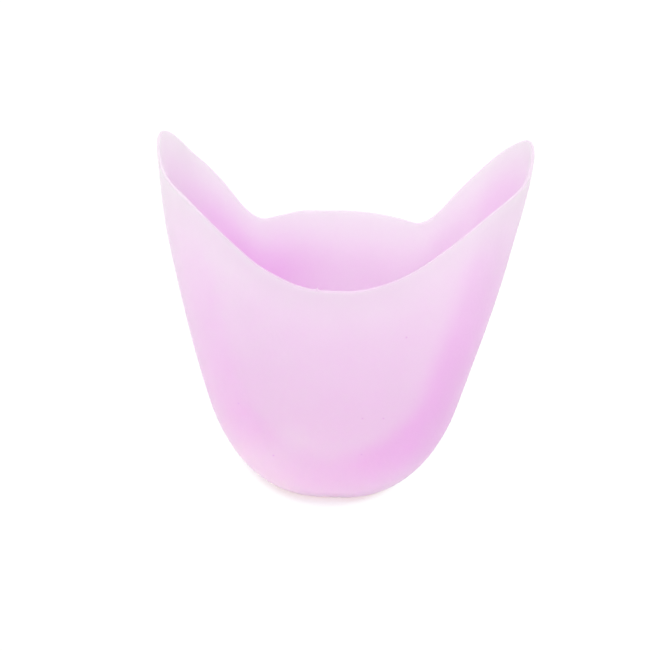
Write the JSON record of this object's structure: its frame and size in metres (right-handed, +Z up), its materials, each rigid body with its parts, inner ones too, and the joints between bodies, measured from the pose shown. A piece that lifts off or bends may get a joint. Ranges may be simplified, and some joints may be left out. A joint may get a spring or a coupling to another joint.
{
  "type": "silicone toe pad",
  "caption": "Soft moulded silicone cup that covers the toes, with a closed toe end, thin rim, low front and back, and raised sides.",
  "frame": {"origin": "centre of the flat at the toe end, on the surface that the pad stands on", "axes": "+Z up from the toe to the mouth, X across the width from ear to ear, -Y towards the front face"},
  "size_m": [0.092, 0.0414, 0.0945],
  "materials": {
    "silicone": "milky translucent satin"
  },
  "bodies": {
    "root": {"toe_pad": "silicone"}
  },
  "joints": []
}
